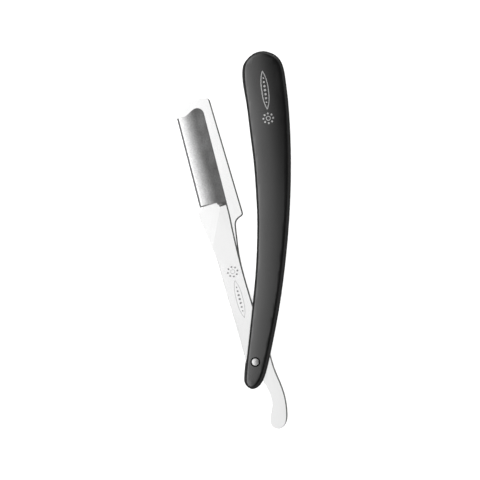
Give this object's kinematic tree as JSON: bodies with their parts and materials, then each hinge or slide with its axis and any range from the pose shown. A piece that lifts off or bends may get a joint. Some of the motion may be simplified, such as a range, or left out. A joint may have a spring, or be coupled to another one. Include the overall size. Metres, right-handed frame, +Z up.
{
  "type": "straight razor",
  "caption": "Folding barber's razor for replaceable half blades: a stainless arm with a clamping sleeve and a curved tail, riveted between curved black plastic scales.",
  "frame": {"origin": "on the pivot rivet's axis, in the plane of the back scale's outer face, which the razor rests on", "axes": "+Y from the rivet towards the handle's far end, +X towards the cutting side, +Z up out of the front scale"},
  "size_m": [0.0492, 0.163, 0.0102],
  "materials": {
    "black_plastic": "glossy moulded",
    "spacer_plastic": "satin moulded",
    "rivet_steel": "brushed",
    "washer_brass": "plain rolled",
    "leaf_steel": "polished flat faces",
    "satin_steel": "polished shank, satin cover"
  },
  "bodies": {
    "handle": {"front_scale": "black_plastic", "back_scale": "black_plastic", "end_spacer": "spacer_plastic", "pivot_rivet": "rivet_steel", "rivet_washer": "rivet_steel", "back_friction_washer": "washer_brass", "front_friction_washer": "washer_brass"},
    "arm": {"back_leaf": "leaf_steel", "blade_studs": "leaf_steel"},
    "clamp": {"front_leaf": "satin_steel"}
  },
  "joints": [
    {"name": "arm_hinge", "type": "hinge", "parent": "handle", "child": "arm", "pos_m": [0, 0, 0.0042], "axis": [0, 0, 1], "range_deg": [-16, 230]},
    {"name": "clamp_hinge", "type": "hinge", "parent": "arm", "child": "clamp", "pos_m": [0, 0, 0.00513], "axis": [0, 0, 1], "range_deg": [0, 45]}
  ]
}
